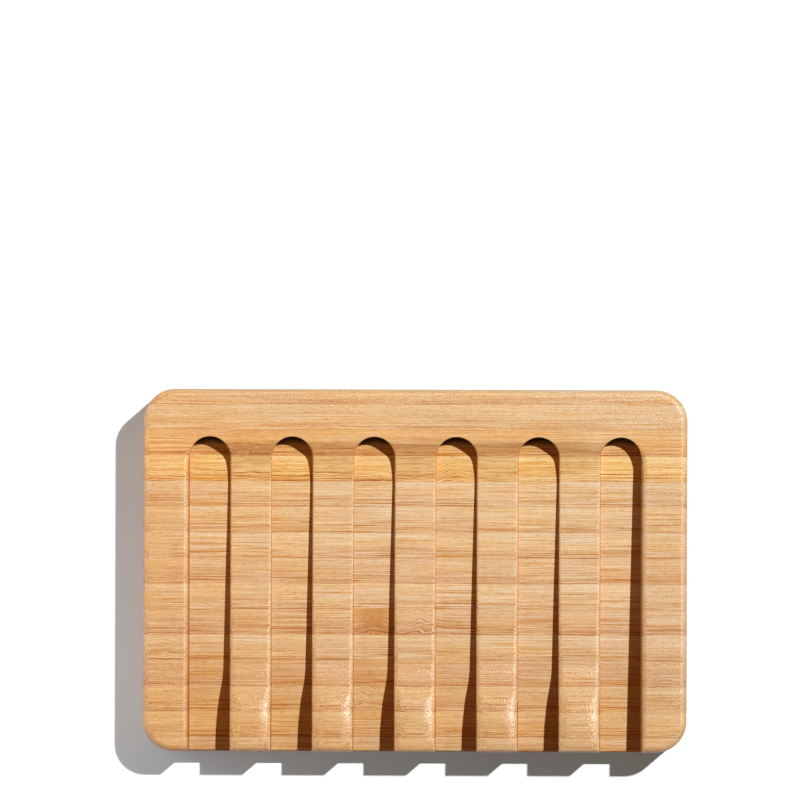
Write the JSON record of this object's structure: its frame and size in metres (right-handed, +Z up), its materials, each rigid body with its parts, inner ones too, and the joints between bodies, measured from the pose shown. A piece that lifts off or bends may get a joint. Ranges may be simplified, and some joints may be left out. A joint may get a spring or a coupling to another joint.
{
  "type": "soap dish",
  "caption": "Rectangular bamboo soap dish milled from one glued board, with round-ended drain channels open at the front and dished ribs for the soap.",
  "frame": {"origin": "middle of the flat underside", "axes": "+X along the bamboo strips, +Y to the closed back rim, away from the open front, +Z up"},
  "size_m": [0.12, 0.08, 0.015],
  "materials": {
    "bamboo": "sanded and oiled, low satin sheen"
  },
  "bodies": {
    "root": {"back_edge_strip": "bamboo", "back_rim_strip": "bamboo", "arch_strip": "bamboo", "cove_strip": "bamboo", "seat_strip_1": "bamboo", "seat_strip_2": "bamboo", "seat_strip_3": "bamboo", "seat_strip_4": "bamboo", "seat_strip_5": "bamboo", "seat_strip_6": "bamboo", "seat_strip_7": "bamboo", "ramp_strip": "bamboo", "crown_strip": "bamboo", "front_land_strip": "bamboo", "front_edge_strip": "bamboo"}
  },
  "joints": []
}
